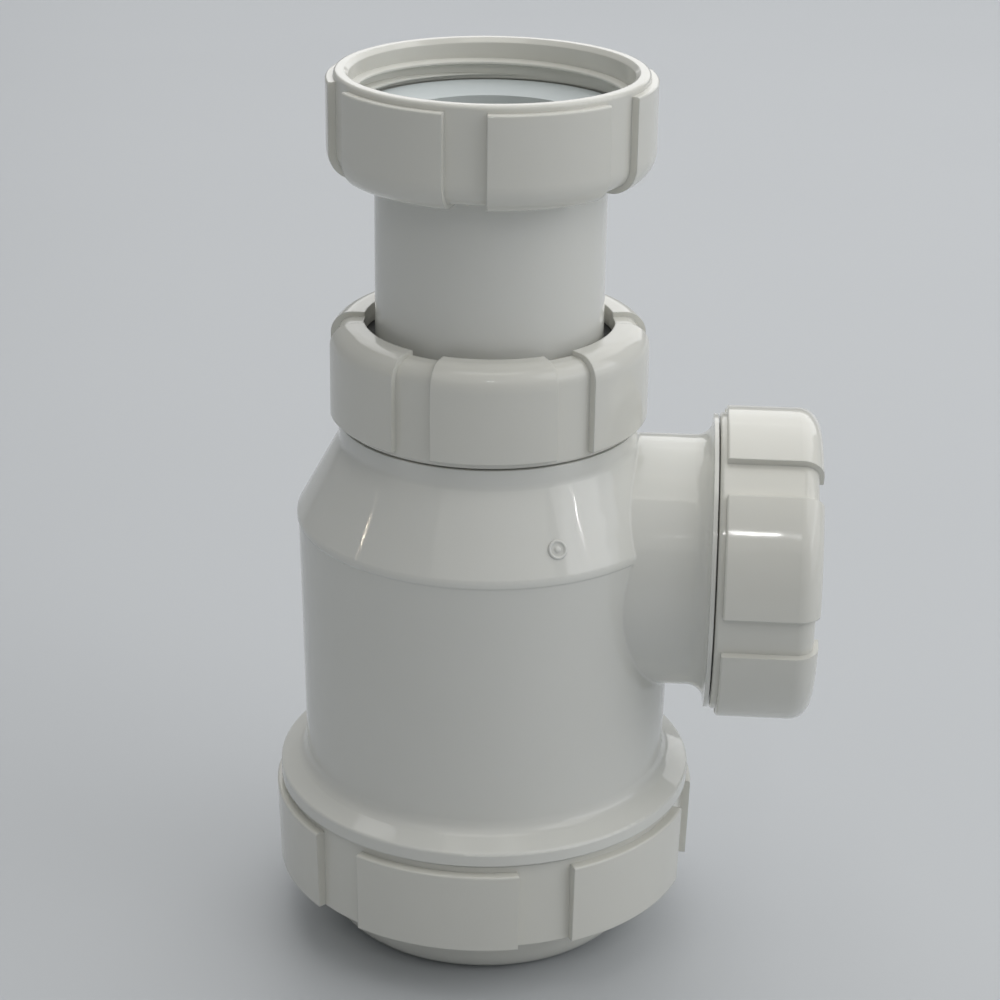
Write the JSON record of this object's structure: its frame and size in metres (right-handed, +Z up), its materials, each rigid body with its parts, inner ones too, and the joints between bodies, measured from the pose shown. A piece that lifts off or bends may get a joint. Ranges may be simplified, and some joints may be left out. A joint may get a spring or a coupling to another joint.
{
  "type": "bottle trap",
  "caption": "White plastic bottle trap with a sliding inlet tube, side outlet, ribbed screw nuts and a screw-off base cup.",
  "frame": {"origin": "centre of the foot's flat underside, on the bottle's axis", "axes": "+Z up along the bottle and the inlet tube, +X along the side outlet"},
  "size_m": [0.0979, 0.0776, 0.1597],
  "materials": {
    "bottle_plastic": "glossy moulded white polypropylene",
    "nut_plastic": "satin moulded white polypropylene",
    "washer_rubber": "pale dished washer, matt",
    "seal_rubber": "matt black rubber"
  },
  "bodies": {
    "bottle": {"bottle": "bottle_plastic"},
    "tube": {"telescopic_tube": "bottle_plastic", "inlet_washer": "washer_rubber"},
    "inlet_nut": {"inlet_nut": "nut_plastic"},
    "neck_seal": {"neck_seal": "seal_rubber"},
    "compression_nut": {"compression_nut": "nut_plastic"},
    "outlet_seal": {"outlet_seal": "seal_rubber"},
    "outlet_nut": {"outlet_nut": "nut_plastic"},
    "base_seal": {"base_seal": "seal_rubber"},
    "base_cap": {"base_cap": "nut_plastic"}
  },
  "joints": [
    {"name": "tube_slide", "type": "slide", "parent": "bottle", "child": "tube", "axis": [0, 0, 1], "range_m": [-0.018, 0.035]},
    {"name": "inlet_nut_turn", "type": "hinge", "parent": "tube", "child": "inlet_nut", "pos_m": [0, 0, 0.1505], "axis": [0, 0, 1], "continuous": true},
    {"name": "neck_thread_travel", "type": "slide", "parent": "bottle", "child": "neck_seal", "axis": [0, 0, 1], "range_m": [0, 0.00693]},
    {"name": "neck_nut_turn", "type": "hinge", "parent": "neck_seal", "child": "compression_nut", "pos_m": [0, 0, 0.107], "axis": [0, 0, 1], "range_deg": [0, 1080]},
    {"name": "outlet_thread_travel", "type": "slide", "parent": "bottle", "child": "outlet_seal", "axis": [1, 0, 0], "range_m": [0, 0.00693]},
    {"name": "outlet_nut_turn", "type": "hinge", "parent": "outlet_seal", "child": "outlet_nut", "pos_m": [0.0505, 0, 0.0713], "axis": [1, 0, 0], "range_deg": [0, 1080]},
    {"name": "base_thread_travel", "type": "slide", "parent": "bottle", "child": "base_seal", "axis": [0, 0, -1], "range_m": [0, 0.00693]},
    {"name": "base_nut_turn", "type": "hinge", "parent": "base_seal", "child": "base_cap", "pos_m": [0, 0, 0.0135], "axis": [0, 0, -1], "range_deg": [0, 1080]}
  ],
  "couplings": [
    {"joint": "neck_thread_travel", "follows": "neck_nut_turn", "m_per_rad": 0.0003675},
    {"joint": "outlet_thread_travel", "follows": "outlet_nut_turn", "m_per_rad": 0.0003675},
    {"joint": "base_thread_travel", "follows": "base_nut_turn", "m_per_rad": 0.0003675}
  ]
}
